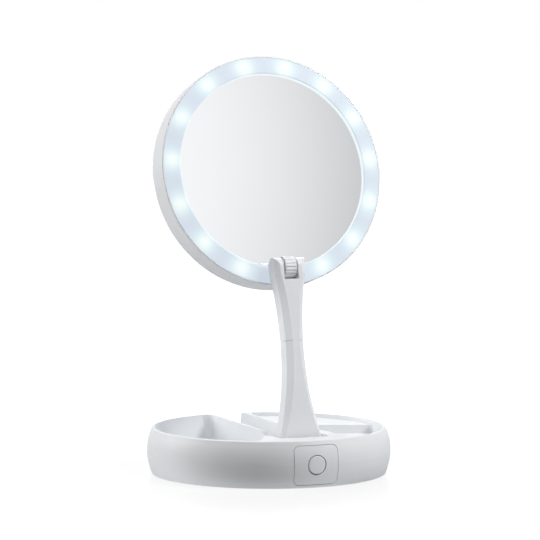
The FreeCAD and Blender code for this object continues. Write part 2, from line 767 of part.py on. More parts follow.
lower_bosses = []
lower_holes = []
base_screws = []
head_seat = d.foot_stand + d.screw_sink + d.screw_head_height
for index, (x, y, top) in enumerate(base_screw_places()):
    lower_bosses.append(rod(f"lower_boss_{index}", d.boss_radius, d.boss_joint - d.foot_stand,
                            (x, y, d.foot_stand)))
    lower_holes.append(rod(f"lower_hole_{index}", d.screw_radius + d.loose_gap, d.boss_joint + OVERLAP,
                           (x, y, 0)))
    lower_holes.append(rod(f"head_hole_{index}", d.screw_head_radius + d.loose_gap, head_seat,
                           (x, y, 0)))
    base_screws.append(joined(f"base_screw_{index}", [
        rod(f"screw_head_{index}", d.screw_head_radius, d.screw_head_height,
            (x, y, head_seat - d.screw_head_height)),
        rod(f"screw_shank_{index}", d.screw_radius, d.channel_floor - d.screw_skin * 2 - head_seat,
            (x, y, head_seat))]))
keep("base_screws", group("base_screw_set", base_screws))

foot_ring = d.base_radius * d.foot_share
foot_x = foot_ring * cosine(d.foot_angle)
foot_reach_y = foot_ring * sine(d.foot_angle)
foot_seats = []
rubber_feet = []
for index, (side, behind) in enumerate(((1, 1), (-1, 1), (-1, -1), (1, -1))):
    x = foot_x * side
    y = foot_reach_y * behind
    foot_seats.append(rod(f"foot_seat_{index}", d.pad_radius + d.loose_gap,
                          d.foot_stand + d.pad_recess, (x, y, 0)))
    rubber_feet.append(rod(f"rubber_foot_{index}", d.pad_radius, d.foot_stand + d.pad_recess,
                           (x, y, 0)))
keep("rubber_feet", group("rubber_foot_set", rubber_feet))

lower_solid = joined("lower_solid", [lower_cup, bay_walls] + lower_bosses)
keep("base_lower_shell", cut("lower_shell", lower_solid,
                             [bay_space, panel_window] + lower_holes + foot_seats))

# Battery pieces
door_low = d.foot_stand + d.door_sink
door_plate = block(
    "door_plate",
    (bay_left + d.door_gap, bay_front + d.door_gap, door_low),
    (bay_right - d.door_gap, bay_rear - d.door_gap, door_low + d.door_thickness))
thumb_notch = rod("thumb_notch", d.cell_pitch / 2, d.door_thickness / 2,
                  ((bay_left + bay_right) / 2, bay_rear - d.cell_pitch, ZERO))
keep("battery_door", cut("door", door_plate, [thumb_notch]))

cell_z = door_low + d.door_thickness + d.loose_gap + d.cell_radius
cap_radius = d.cell_radius / 2
coil_radius = d.cell_radius * 0.7
contact_half = d.cell_radius * 0.75
cells = []
springs = []
contacts = []
for index in range(int(d.cell_count.value)):
    x = bay_left + d.cell_pitch * (index + HALF)
    body_length = d.cell_length - d.cell_cap
    if index % 2:
        start = bay_front + d.spring_length
        cap_start = start + body_length
        spring_start = bay_front
        plate_start = bay_rear - d.contact_plate
        spring_radii = (coil_radius, cap_radius)
    else:
        cap_start = bay_front + d.contact_plate + d.loose_gap
        start = cap_start + d.cell_cap
        spring_start = bay_rear - d.spring_length
        plate_start = bay_front
        spring_radii = (cap_radius, coil_radius)
    cells.append(joined(f"cell_{index}", [
        rod(f"cell_can_{index}", d.cell_radius, body_length, (x, start, cell_z), "Y"),
        rod(f"cell_cap_{index}", cap_radius, d.cell_cap, (x, cap_start, cell_z), "Y")]))
    springs.append(frustum(f"spring_{index}", *spring_radii, d.spring_length,
                           (x, spring_start, cell_z), "Y"))
    contacts.append(block(
        f"contact_{index}", (x - contact_half, plate_start, cell_z - contact_half),
        (x + contact_half, plate_start + d.contact_plate, cell_z + contact_half)))
keep("battery_cells", group("cell_set", cells))
keep("battery_springs", group("spring_set", springs))
keep("battery_contacts", group("contact_set", contacts))

# Button panel, button and switch
panel_back = d.base_wall + d.running_gap * 2
panel_deep = panel_back + d.plate_flange
panel_face = common(
    "panel_face",
    cut("panel_skin", skin("panel_outside", ZERO), [skin("panel_inside", panel_deep)]),
    padded("panel_block", panel_outline(ZERO), panel_reach, far - panel_reach, role="XZ_Plane"))
flange_half = d.plate_half_width + d.plate_flange * 2
flange_rise = d.plate_corner
panel_flange = common(
    "panel_flange",
    cut("flange_skin", skin("flange_outside", panel_back), [skin("flange_inside", panel_deep)]),
    block("flange_block", (-flange_half, -far, d.plate_low + flange_rise),
          (flange_half, -panel_reach, plate_high - flange_rise)))
button_hole = rod("button_hole", d.button_radius + d.button_gap, far,
                  (0, -far, d.button_height), "Y")
keep("button_plate", cut("panel", joined("panel_whole", [panel_face, panel_flange]), [button_hole]))

stem_length = (d.base_radius + board_front - d.board_thickness - d.switch_depth
               - d.plunger_reach)
stem_radius = d.plunger_radius + d.stem_step
flange_back = stem_length - d.stem_step
flange_front = flange_back - d.plate_flange
retainer_radius = d.button_radius + d.button_gap * 2
power_button = turned("power_button_body", [
    (0, -stem_length),
    (stem_radius, -stem_length),
    (stem_radius, -flange_back),
    (retainer_radius, -flange_back),
    (retainer_radius, -flange_front),
    (d.button_radius, -flange_front),
    (d.button_radius, -d.button_round, d.button_round),
    (d.button_radius - d.button_round, 0),
    (0, d.button_dome)])
keep("power_button", place(power_button, ZERO, -d.base_radius, d.button_height,
                           X_AXIS, QUARTER_TURN))

board_face = board_front - d.board_thickness
board_plate = block("board_plate",
                    (-board_half, board_face, d.button_height - d.board_drop),
                    (board_half, board_front, plate_high - d.board_top))
board_holes = []
board_screws = []
for side in (-1, 1):
    x = side * board_screw_x
    board_holes.append(rod(f"board_hole_{side + 1}", d.small_screw_radius + d.loose_gap,
                           d.board_thickness + OVERLAP * 2,
                           (x, board_face - OVERLAP, board_screw_z), "Y"))
    board_screws.append(joined(f"board_screw_{side + 1}", [
        rod(f"board_screw_head_{side + 1}", d.small_head_radius, d.small_head_height,
            (x, board_face - d.small_head_height, board_screw_z), "Y"),
        rod(f"board_screw_shank_{side + 1}", d.small_screw_radius,
            d.board_thickness + d.screw_bite,
            (x, board_face, board_screw_z), "Y")]))
keep("switch_board", cut("board", board_plate, board_holes))
keep("board_screws", group("board_screw_set", board_screws))

switch_front = board_face - d.switch_depth
switch_case = block("switch_case",
                    (-d.switch_half, switch_front, d.button_height - d.switch_half),
                    (d.switch_half, board_face, d.button_height + d.switch_half))
keep("switch_body", cut("switch", switch_case, [
    rod("plunger_bore", d.plunger_radius + d.running_gap, d.plunger_hold + d.button_travel + d.clip_gap + OVERLAP,
        (0, switch_front - OVERLAP, d.button_height), "Y")]))
keep("switch_plunger", rod("plunger", d.plunger_radius, d.plunger_reach + d.plunger_hold,
                           (0, switch_front - d.plunger_reach, d.button_height), "Y"))

# Foot hinge
clip_start = clip_reach + d.clip_gap
pin_end = clip_start + d.clip_thickness * 2
clip_neck = d.pin_radius - d.pin_groove
pin_blank = rod("foot_pin_blank", d.pin_radius, pin_end + left_cheek_bore - d.clip_gap,
                (d.clip_gap - left_cheek_bore, foot_y, foot_z), "X")
pin_groove = cut(
    "foot_pin_groove",
    rod("groove_outer", d.pin_radius + OVERLAP, d.clip_thickness, (clip_start, foot_y, foot_z), "X"),
    [rod("groove_inner", clip_neck, d.clip_thickness, (clip_start, foot_y, foot_z), "X")])
keep("foot_hinge_pin", cut("foot_pin", pin_blank, [pin_groove]))
clip_ring = rod("clip_ring", clip_radius, d.clip_thickness - d.running_gap * 2,
                (clip_start + d.running_gap, foot_y, foot_z), "X")
clip_mouth = block("clip_mouth",
                   (clip_start - OVERLAP, foot_y - clip_neck, foot_z - d.washer_radius),
                   (clip_start + d.clip_thickness + OVERLAP, foot_y + clip_neck, foot_z))
keep("foot_hinge_clip", cut("clip", clip_ring, [
    rod("clip_hole", clip_neck + d.running_gap, d.clip_thickness + OVERLAP * 2,
        (clip_start - OVERLAP, foot_y, foot_z), "X"),
    clip_mouth]))
washer_low = foot_half + d.loose_gap
foot_washers = []
for side in (-1, 1):
    start = washer_low if side > 0 else -(washer_low + d.foot_washer)
    foot_washers.append(cut(f"foot_washer_{side + 1}", rod(
        f"foot_washer_disc_{side + 1}", d.washer_radius, d.foot_washer,
        (start, foot_y, foot_z), "X"), [
        rod(f"foot_washer_hole_{side + 1}", d.pin_radius + d.loose_gap,
            d.foot_washer + OVERLAP * 2, (start - OVERLAP, foot_y, foot_z), "X")]))
keep("foot_hinge_washers", group("foot_washer_set", foot_washers))

# Arm, drawn upright from the foot axis with its front towards -Y
crown_half = d.crown_width / 2
FRONT_INSET = 0.6
BEVEL_INSET = 0.6


def arm_outline(foot, waist, neck, crown, inset):
    """Waisted outline of the arm, x and z, set in by a wall."""
    foot_reach = foot / 2 - inset
    waist_reach = waist / 2 - inset
    neck_reach = neck / 2 - inset
    crown_reach = crown / 2 - inset
    waist_z = arm_length * d.waist_share
    neck_z = arm_length * d.neck_share
    crown_z = arm_length * d.crown_share
    low_curve = -bend_radius(foot_reach - waist_reach, waist_z - d.foot_rise)
    high_curve = -bend_radius(neck_reach - waist_reach, neck_z - waist_z)
    return [
        (-foot_reach, 0),
        (foot_reach, 0),
        (foot_reach, d.foot_rise, low_curve),
        (waist_reach, waist_z, high_curve),
        (neck_reach, neck_z),
        (crown_reach, crown_z),
        (crown_reach, arm_length),
        (-crown_reach, arm_length),
        (-crown_reach, crown_z),
        (-neck_reach, neck_z, high_curve),
        (-waist_reach, waist_z, low_curve),
        (-foot_reach, d.foot_rise)]


def arm_solid(name, inset):
    """The waisted arm with bevelled sides, set in by a wall."""
    body = doc.addObject("PartDesign::Body", name)
    bevel_end = d.bevel_end - inset * BEVEL_INSET
    front = sketch_in(body, name + "_front", "XZ_Plane", d.arm_half_depth - inset)
    draw(front, arm_outline(d.foot_front_width, d.waist_front_width, d.neck_front_width,
                            d.crown_front_width, inset * FRONT_INSET))
    sides = sketch_in(body, name + "_sides", "XZ_Plane", bevel_end)
    draw(sides, arm_outline(d.foot_rear_width, d.waist_rear_width, d.neck_rear_width,
                            d.crown_width, inset))
    bevel = body.newObject("PartDesign::AdditiveLoft", name + "_bevel")
    bevel.Profile = front
    bevel.Sections = [sides]
    bevel.Ruled = True
    body.Tip = bevel
    strip = body.newObject("PartDesign::Pad", name + "_strip")
    strip.Profile = sides
    strip.Reversed = True
    bind(strip, "Length", d.arm_half_depth - inset + bevel_end)
    body.Tip = strip
    return body


slot_half = d.fork_slot / 2
cover_top = arm_length - d.cover_high
arm_blank = joined("arm_blank", [
    arm_solid("arm_outside", ZERO),
    rod("foot_barrel", d.arm_half_depth, d.foot_rear_width, (-foot_half, 0, 0), "X"),
    common(
        "crown_barrel",
        rod("crown_round", d.arm_half_depth, d.crown_width, (-crown_half, 0, arm_length), "X"),
        padded("crown_bevel", [
            (-crown_half, d.arm_half_depth),
            (-crown_half, -d.bevel_end),
            (-d.crown_front_width / 2, -d.arm_half_depth),
            (d.crown_front_width / 2, -d.arm_half_depth),
            (crown_half, -d.bevel_end),
            (crown_half, d.arm_half_depth)], arm_length - d.arm_half_depth, d.arm_half_depth * 2))],
    merge_faces=False)
arm_space = common("arm_space", arm_solid("arm_inside", d.arm_wall),
                   block("arm_space_box", (-far, -far, d.cover_low + d.arm_wall),
                         (far, far, cover_top - d.arm_wall)))
fork_slot = block("fork_slot_box",
                  (-slot_half, -far, arm_length - d.drum_radius - d.drum_clearance),
                  (slot_half, far, arm_length + far))
cover_seat = block("cover_seat", (-far, d.shoulder_back, d.cover_low), (far, far, cover_top))
cover_room = block("cover_room", (-far, d.shoulder_back, d.cover_low + d.cover_gap),
                   (far, far, cover_top - d.cover_gap))
arm_bores = [
    rod("barrel_bore", bore, d.foot_rear_width + OVERLAP * 2,
        (-foot_half - OVERLAP, 0, 0), "X"),
    rod("fork_bore", bore, d.crown_width, (d.ear_skin - crown_half, 0, arm_length), "X")]

groove_low = d.groove_height - d.groove_width / 2
arm_groove = cut(
    "arm_groove",
    block("groove_slab", (-far, d.groove_depth * 2 - d.arm_half_depth, groove_low),
          (far, far, groove_low + d.groove_width)),
    [arm_solid("groove_core", d.groove_depth)])

front_bosses = []
cover_bosses = []
front_holes = []
cover_holes = []
arm_screws = []
head_face = d.arm_half_depth - d.arm_screw_sink
for index, height in enumerate((d.arm_screw_low, cover_top - d.arm_screw_high)):
    front_bosses.append(rod(
        f"arm_boss_{index}", d.small_boss_radius, d.arm_half_depth + d.shoulder_back - OVERLAP,
        (0, OVERLAP - d.arm_half_depth, height), "Y"))
    cover_bosses.append(rod(
        f"cover_boss_{index}", d.small_boss_radius, d.arm_half_depth - d.shoulder_back - d.loose_gap,
        (0, d.shoulder_back, height), "Y"))
    front_holes.append(rod(
        f"arm_pilot_{index}", d.small_screw_radius + d.running_gap,
        d.arm_half_depth + d.shoulder_back, (0, d.arm_wall - d.arm_half_depth, height), "Y"))
    cover_holes.append(rod(
        f"cover_hole_{index}", d.small_screw_radius + d.loose_gap, far, (0, 0, height), "Y"))
    cover_holes.append(rod(
        f"cover_head_hole_{index}", d.small_head_radius + d.loose_gap, far,
        (0, head_face - d.small_head_height, height), "Y"))
    shank_start = d.arm_wall + d.arm_screw_sink - d.arm_half_depth
    arm_screws.append(joined(f"arm_screw_{index}", [
        rod(f"arm_screw_head_{index}", d.small_head_radius, d.small_head_height,
            (0, head_face - d.small_head_height, height), "Y"),
        rod(f"arm_screw_shank_{index}", d.small_screw_radius,
            head_face - d.small_head_height - shank_start, (0, shank_start, height), "Y")]))

arm_front_open = cut("arm_front_open", arm_blank, [arm_space, fork_slot, cover_seat],
                     merge_faces=False)
arm_front_bossed = joined("arm_front_bossed", [arm_front_open] + front_bosses, merge_faces=False)
arm_front = cut("arm_front", arm_front_bossed, arm_bores + front_holes + [arm_groove], merge_faces=False)
keep("arm_front_shell", in_arm(arm_front))
cover_shell = cut("cover_shell", common("cover_blank", arm_solid("cover_outside", ZERO), cover_room),
                  [arm_space])
keep("arm_rear_cover", in_arm(cut("arm_cover", joined("cover_bossed", [cover_shell] + cover_bosses),
                                  cover_holes + [arm_groove])))
keep("arm_screws", in_arm(group("arm_screw_set", arm_screws)))
lead_low = d.cover_low + d.arm_wall
keep("arm_lead", in_arm(group("arm_lead_set", [
    rod("arm_lead_core", d.lead_radius, cover_top - d.arm_wall - lead_low,
        (d.lead_side, d.shoulder_back + d.lead_back, lead_low))])))

# Head hinge pin and washers, drawn along the arm
keep("head_hinge_pin", in_arm(group("head_pin_set", [
    rod("head_pin", d.pin_radius, d.crown_width - d.ear_skin - d.clip_gap * 2,
        (d.ear_skin + d.clip_gap - crown_half, 0, arm_length), "X")])))
drum_half = d.drum_width / 2
head_washer_thickness = slot_half - drum_half - d.loose_gap
head_washers = []
for side in (-1, 1):
    start = drum_half + d.loose_gap / 2
    start = start if side > 0 else -(start + head_washer_thickness)
    head_washers.append(cut(f"head_washer_{side + 1}", rod(
        f"head_washer_disc_{side + 1}", d.head_washer_radius, head_washer_thickness,
        (start, 0, arm_length), "X"), [
        rod(f"head_washer_hole_{side + 1}", bore, head_washer_thickness + OVERLAP * 2,
            (start - OVERLAP, 0, arm_length), "X")]))
keep("head_hinge_washers", in_arm(group("head_washer_set", head_washers)))

# Head, drawn about Z with its face towards +Z and the hinge at -Y
lens_outer = head_radius - d.head_lip - d.lens_gap
lens_inner = lens_outer - d.lens_width
seat = d.lens_thickness + d.lens_gap
shell_inner = head_radius - d.head_wall
shell_back = d.head_depth - d.bezel_depth
web_back = d.web_depth + d.web_thickness
mirror_radius = lens_inner + d.mirror_tuck
carrier_radius = mirror_radius + d.loose_gap + d.carrier_skin
neck_half = drum_half
neck_top = -(carrier_radius + d.loose_gap * 2)
neck_low = -(hinge_drop + d.drum_radius - d.neck_trim)
flange_reach = neck_half + d.knuckle_reach
knuckle_screw_x = neck_half + d.knuckle_screw_side
knuckle_screw_y = (neck_top + neck_low) / 2

shell_ring = turned("head_ring", [
    (d.web_hole, -web_back),
    (shell_inner, -web_back),
    (shell_inner, -shell_back),
    (head_radius, -shell_back),
    (head_radius, -d.lip_round, d.lip_round),
    (head_radius - d.lip_round, 0),
    (head_radius - d.head_lip, 0),
    (head_radius - d.head_lip, -seat),
    (shell_inner, -seat),
    (shell_inner, -d.web_depth),
    (d.web_hole, -d.web_depth)])
web_bosses = []
web_holes = []
knuckle_screws = []
boss_end = -web_back - d.web_boss
for side in (-1, 1):
    x = side * knuckle_screw_x
    web_bosses.append(rod(f"web_boss_{side + 1}", d.small_boss_radius, d.web_boss + OVERLAP,
                          (x, knuckle_screw_y, boss_end)))
    web_holes.append(rod(f"web_hole_{side + 1}", d.small_screw_radius + d.running_gap,
                         d.web_boss + d.web_thickness + OVERLAP,
                         (x, knuckle_screw_y, boss_end + d.boss_skin)))
    knuckle_screws.append(joined(f"knuckle_screw_{side + 1}", [
        rod(f"knuckle_screw_head_{side + 1}", d.small_head_radius, d.small_head_height,
            (x, knuckle_screw_y, d.knuckle_flange - d.web_depth)),
        rod(f"knuckle_screw_shank_{side + 1}", d.small_screw_radius,
            d.knuckle_flange + d.web_thickness + d.screw_bite,
            (x, knuckle_screw_y, -web_back - d.screw_bite))]))
head_shell_solid = joined("head_shell_solid", [shell_ring] + web_bosses)
keep("head_shell", in_head(cut("head_shell_drilled", head_shell_solid, web_holes)))
keep("knuckle_screws", in_head(group("knuckle_screw_set", knuckle_screws)))

lens_under = d.mirror_recess - d.running_gap
lens_section = turned("lens_section", [
    (lens_inner, -lens_under),
    (mirror_radius + d.carrier_skin, -lens_under),
    (shell_inner, -d.lens_thickness),
    (lens_outer, -d.lens_thickness),
    (lens_outer, 0),
    (lens_inner + d.lens_edge, d.lens_rise),
    (lens_inner, d.lens_rise - d.lens_edge / 2)])
notch_half = neck_half + d.notch_gap
lens_notch = block("lens_notch", (-notch_half, -far, -far),
                   (notch_half, neck_top + d.neck_trim, far))
keep("light_ring", in_head(cut("lens", lens_section, [lens_notch])))

mirror_back = d.mirror_recess + d.mirror_thickness
pad_back = mirror_back + d.pad_thickness
pad_radius = mirror_radius - d.pad_margin
keep("front_mirror", in_head(turned("front_mirror_disc", [
    (0, -mirror_back),
    (mirror_radius, -mirror_back),
    (mirror_radius, -d.mirror_recess),
    (0, -d.mirror_recess)])))
keep("mirror_pad", in_head(turned("mirror_pad_disc", [
    (0, -pad_back),
    (pad_radius, -pad_back),
    (pad_radius, -mirror_back),
    (0, -mirror_back)])))
carrier_inner = carrier_radius - d.carrier_skin
keep("mirror_carrier", in_head(turned("carrier_dish", [
    (0, -pad_back - d.carrier_skin),
    (carrier_inner, -pad_back - d.carrier_skin),
    (carrier_inner, -d.web_depth),
    (carrier_radius, -d.web_depth),
    (carrier_radius, -d.mirror_recess - d.loose_gap),
    (carrier_inner, -d.mirror_recess - d.loose_gap),
    (carrier_inner, -pad_back),
    (0, -pad_back)])))

board_inner = carrier_radius + d.loose_gap
board_outer = shell_inner - d.loose_gap
board_top = d.board_thickness - d.web_depth
light_board_ring = turned("light_board_ring", [
    (board_inner, -d.web_depth),
    (board_outer, -d.web_depth),
    (board_outer, board_top),
    (board_inner, board_top)])
board_notch = flange_reach + d.notch_gap
keep("light_board", in_head(cut("light_board_cut", light_board_ring, [
    block("light_board_notch", (-board_notch, -far, -far), (board_notch, -d.web_hole, far))])))
chip_ring = (board_inner + board_outer) / 2
chips = []
chip_half = d.chip_size / 2
for side in (-1, 1):
    for index in range(1, int(d.chip_pairs.value) + 1):
        chip = doc.addObject("Part::Box", f"chip_{side + 1}_{index}")
        bind(chip, "Length", d.chip_size)
        bind(chip, "Width", d.chip_size)
        bind(chip, "Height", d.chip_height)
        turn = d.chip_angle * (side * index)
        x = chip_ring * sine(turn) - chip_half * cosine(turn) + chip_half * sine(turn)
        y = -chip_ring * cosine(turn) - chip_half * sine(turn) - chip_half * cosine(turn)
        chips.append(place(chip, x, y, board_top, Z_AXIS, turn))
keep("light_chips", in_head(group("chip_set", chips)))

bezel_inner = head_radius - d.bezel_width
magnifier_radius = bezel_inner + d.magnifier_tuck
magnifier_lip = d.head_depth - d.head_wall
spigot_outer = shell_inner - d.loose_gap
spigot_inner = spigot_outer - d.head_wall
rear_bezel = turned("bezel_ring", [
    (bezel_inner, d.bezel_bevel - d.head_depth),
    (bezel_inner + d.bezel_bevel, -d.head_depth),
    (head_radius - d.bezel_round, -d.head_depth, d.bezel_round),
    (head_radius, -d.head_depth + d.bezel_round),
    (head_radius, -shell_back),
    (spigot_outer, -shell_back),
    (spigot_outer, d.spigot - shell_back),
    (spigot_inner, d.spigot - shell_back),
    (spigot_inner, d.head_wall - d.head_depth),
    (bezel_inner, d.head_wall - d.head_depth)])
keep("rear_bezel", in_head(rear_bezel))
magnifier_edge = magnifier_lip - d.loose_gap
magnifier_bend = bend_radius(d.magnifier_sag, magnifier_radius)
keep("magnifying_mirror", in_head(turned("magnifier_disc", [
    (0, d.magnifier_sag - magnifier_edge, -magnifier_bend),
    (magnifier_radius, -magnifier_edge),
    (magnifier_radius, d.mirror_thickness - magnifier_edge, magnifier_bend),
    (0, d.magnifier_sag + d.mirror_thickness - magnifier_edge)])))
pad_outer = magnifier_radius - d.carrier_skin
pad_inner = pad_outer - d.carrier_skin * 2
pad_share = pad_inner / magnifier_radius
pad_rise = d.magnifier_sag * (1 - pad_share * pad_share)
pad_low = d.mirror_thickness - magnifier_edge + pad_rise + d.running_gap
keep("magnifier_pad", in_head(turned("magnifier_pad_ring", [
    (pad_inner, pad_low),
    (pad_outer, pad_low),
    (pad_outer, -web_back),
    (pad_inner, -web_back)])))

drum = rod("drum", d.drum_radius, d.drum_width, (-drum_half, -hinge_drop, d.hinge_lead), "X")
neck = block("neck", (-neck_half, neck_low, -d.web_depth), (neck_half, neck_top, d.hinge_lead))
knuckle_flange = block("knuckle_flange", (-flange_reach, neck_low, -d.web_depth),
                       (flange_reach, neck_top, d.knuckle_flange - d.web_depth))
groove_ring = d.drum_radius + d.rib_groove_rise
NECK_START = 200
NECK_END = 300
knuckle_cuts = [
    rod("drum_bore", bore, d.drum_width + OVERLAP * 2,
        (-drum_half - OVERLAP, -hinge_drop, d.hinge_lead), "X")]
for index in range(int(d.rib_count.value)):
    turn = size(FULL_TURN / d.rib_count.value * index)
    if NECK_START < turn.value < NECK_END:
        continue
    knuckle_cuts.append(rod(
        f"rib_groove_{index}", d.rib_groove_radius, d.drum_width + OVERLAP * 2,
        (-drum_half - OVERLAP, groove_ring * cosine(turn) - hinge_drop,
         groove_ring * sine(turn) + d.hinge_lead), "X"))
for side in (-1, 1):
    knuckle_cuts.append(rod(f"knuckle_hole_{side + 1}", d.small_screw_radius + d.loose_gap,
                            d.knuckle_flange + OVERLAP * 2,
                            (side * knuckle_screw_x, knuckle_screw_y, -d.web_depth - OVERLAP)))
keep("hinge_knuckle", in_head(cut("knuckle", joined("knuckle_solid", [drum, neck, knuckle_flange]),
                                  knuckle_cuts)))

doc.recompute()
for item in doc.Objects:
    if "Invalid" in item.State or "Error" in item.State:
        raise RuntimeError(f"{item.Name} did not build: {item.State}")
os.makedirs("parts", exist_ok=True)
for node in nodes:
    shape = node.Shape
    if shape.isNull() or not shape.isValid() or not shape.Solids:
        raise RuntimeError(f"{node.Label} has no valid solid")
    shape.exportStep(f"parts/{node.Label}.step")
    print(node.Label, len(shape.Solids), round(shape.Volume), shape.BoundBox)
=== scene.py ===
import json
import math

import bpy
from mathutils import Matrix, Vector


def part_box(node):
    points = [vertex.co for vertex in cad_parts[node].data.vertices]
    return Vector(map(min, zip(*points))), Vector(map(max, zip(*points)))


# A folding lighted makeup mirror in white plastic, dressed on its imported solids. Metres.
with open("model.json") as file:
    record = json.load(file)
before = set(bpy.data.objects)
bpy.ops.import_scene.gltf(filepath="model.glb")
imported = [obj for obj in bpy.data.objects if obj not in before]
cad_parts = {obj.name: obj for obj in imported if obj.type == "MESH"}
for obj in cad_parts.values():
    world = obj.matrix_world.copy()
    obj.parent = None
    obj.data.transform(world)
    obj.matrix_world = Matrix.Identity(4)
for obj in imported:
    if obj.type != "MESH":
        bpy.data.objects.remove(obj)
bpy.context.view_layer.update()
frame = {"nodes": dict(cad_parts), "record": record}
nodes = frame["nodes"]
scene = bpy.context.scene

MM = 0.001
IMAGE_SIDE = 540
SENSOR = 36.0
WHITE = (1, 1, 1, 1)

# Camera of the photograph
CAMERA_AZIMUTH = math.radians(-22.4)
CAMERA_ELEVATION = math.radians(3.84)
CAMERA_DISTANCE = 1592.6 * MM
CAMERA_TARGET = Vector((0, 0, 129.8 * MM))
FOCAL_PIXELS = 2287.35
PRINCIPAL_X = 268.69
PRINCIPAL_Y = 286.45

# Places on the head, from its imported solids
HEAD_TILT = math.radians(13.3)
lens_low, lens_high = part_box("light_ring")
mirror_low, mirror_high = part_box("front_mirror")
HEAD_CENTRE = (mirror_low + mirror_high) / 2
LENS_WIDTH = 12.0 * MM
LENS_INNER = (lens_high.x - lens_low.x) / 2 - LENS_WIDTH
CHIP_STEP = math.radians(24)
CHIP_RING = 74.0 * MM

# Glow of the light ring: between the chips, around them, over them and on its inner wall
GLOW_BETWEEN = (0.49, 0.55, 0.62, 1)
GLOW_HALO = (0.56, 0.70, 0.74, 1)
GLOW_SPOT = (0.77, 0.83, 0.81, 1)
GLOW_WALL = (0.80, 0.86, 0.88, 1)
HALO_WIDTH = 9.5 * MM
SPOT_WIDTH = 5.6 * MM
WALL_FADE = (LENS_INNER + 0.30 * MM, LENS_INNER + 0.05 * MM)

# Groove around the arm, from its foot axis, with painted shade on its band at the arm's sides
ARM_LEAN = math.radians(10.3)
ARM_DIRECTION = Vector((0, math.sin(ARM_LEAN), math.cos(ARM_LEAN)))
FOOT_AXIS = Vector((0, -56.0, 22.0)) * MM
GROOVE_REACH = FOOT_AXIS.dot(ARM_DIRECTION) + 74.5 * MM
GROOVE_EDGE = (0.55 * MM, 0.35 * MM)
GROOVE_SIDE = (2.2 * MM, 3.4 * MM)
# Colour of the painted shade in the arm's groove
GROOVE_PAINTED_SHADE = (0.68, 0.695, 0.715, 1)

# Finishes: two tones, a range of roughness, and where they differ from plain plastic the rest
PLASTIC_FINISH = dict(dark=(0.835, 0.853, 0.875, 1), light=(0.855, 0.873, 0.895, 1),
                      rough=(0.38, 0.48), grain_depth=0.012)
FINISHES = {
    "white_plastic": PLASTIC_FINISH,
    "foam": dict(dark=(0.05, 0.05, 0.055, 1), light=(0.09, 0.09, 0.095, 1),
                 rough=(0.8, 0.95), grain=1500, grain_depth=0.4),
    "board": dict(dark=(0.70, 0.73, 0.70, 1), light=(0.80, 0.82, 0.79, 1), rough=(0.35, 0.5)),
    "black_plastic": dict(dark=(0.012, 0.012, 0.013, 1), light=(0.02, 0.02, 0.021, 1),
                          rough=(0.4, 0.55)),
    "rubber": dict(dark=(0.055, 0.055, 0.058, 1), light=(0.085, 0.085, 0.088, 1),
                   rough=(0.65, 0.85), grain=1200, grain_depth=0.15),
    "lead": dict(dark=(0.62, 0.62, 0.63, 1), light=(0.70, 0.70, 0.71, 1), rough=(0.5, 0.6)),
    "cell_jacket": dict(dark=(0.015, 0.017, 0.021, 1), light=(0.022, 0.024, 0.03, 1),
                        rough=(0.25, 0.4), metallic=0.2),
    "nickel": dict(dark=(0.58, 0.56, 0.52, 1), light=(0.66, 0.64, 0.60, 1),
                   rough=(0.18, 0.35), metallic=1.0),
    "steel": dict(dark=(0.46, 0.46, 0.48, 1), light=(0.56, 0.56, 0.58, 1),
                  rough=(0.25, 0.42), metallic=1.0, grain=1400, grain_depth=0.1),
    "nylon": dict(dark=(0.66, 0.65, 0.61, 1), light=(0.74, 0.73, 0.70, 1), rough=(0.4, 0.55)),
}

# Rounding of sharp edges
ROUNDED_SLOTS = ("white_plastic", "diffuser", "mirror_glass")
USUAL_EDGE = 0.3 * MM
EDGE_WIDTHS = {
    "base_upper_shell": 0.4 * MM,
    "base_lower_shell": 0.2 * MM,
    "arm_front_shell": 0.12 * MM,
    "arm_rear_cover": 0.15 * MM,
    "hinge_knuckle": 0.25 * MM,
    "button_plate": 0.2 * MM,
    "power_button": 0.2 * MM,
}
EDGE_ANGLE = math.radians(28.0)
WELD_GAP = 0.001 * MM

# Floor as the camera sees it
FLOOR_HALF_SIDE = 9.0
FLOOR_GLOW = 0.888
FLOOR_FAR_GLOW = 1.25
GLOW_SWEEP = (0.10, 0.36)
FLOOR_SHEEN = 0.16

# Floor as it lights the object: grey, with a painted pool of light at the left and a dark patch of
# painted shade in front
FLOOR_BOUNCE = 0.40
FLOOR_LIFT = 0.06
FLOOR_PAINTED_POOL = 0.26
PAINTED_POOL_PLACE = (-0.15, -0.075, 0.0)
PAINTED_POOL_FADE = (0.20, 0.04)
FLOOR_PAINTED_SHADE = 0.04
PAINTED_SHADE_PLACE = (-0.075, -0.115, 0.0)
PAINTED_SHADE_FADE = (0.03, 0.10)

# Painted strip of light on the floor between the base and the painted shade
FLOOR_PAINTED_STRIP = 0.35
PAINTED_STRIP_FADE = (0.100, 0.086)
PAINTED_STRIP_SPREAD = (0.13, 0.05)

# Surroundings, as strengths and as directions with angles from them
SURROUND = 0.12
MIRRORED = 0.5
BACKDROP = 0.95
BACKDROP_DIRECTION = Vector((0.38, 0.92, 0.0)).normalized()
BACKDROP_FADE = (50, 25)
CARD_DIRECTION = Vector((0.25, -0.87, 0.42)).normalized()
CARD_EDGE = 0.42
CARD_MIDDLE = 1.0
CARD_FADE = (13, 4)
CARD_BORDER = (14, 11)

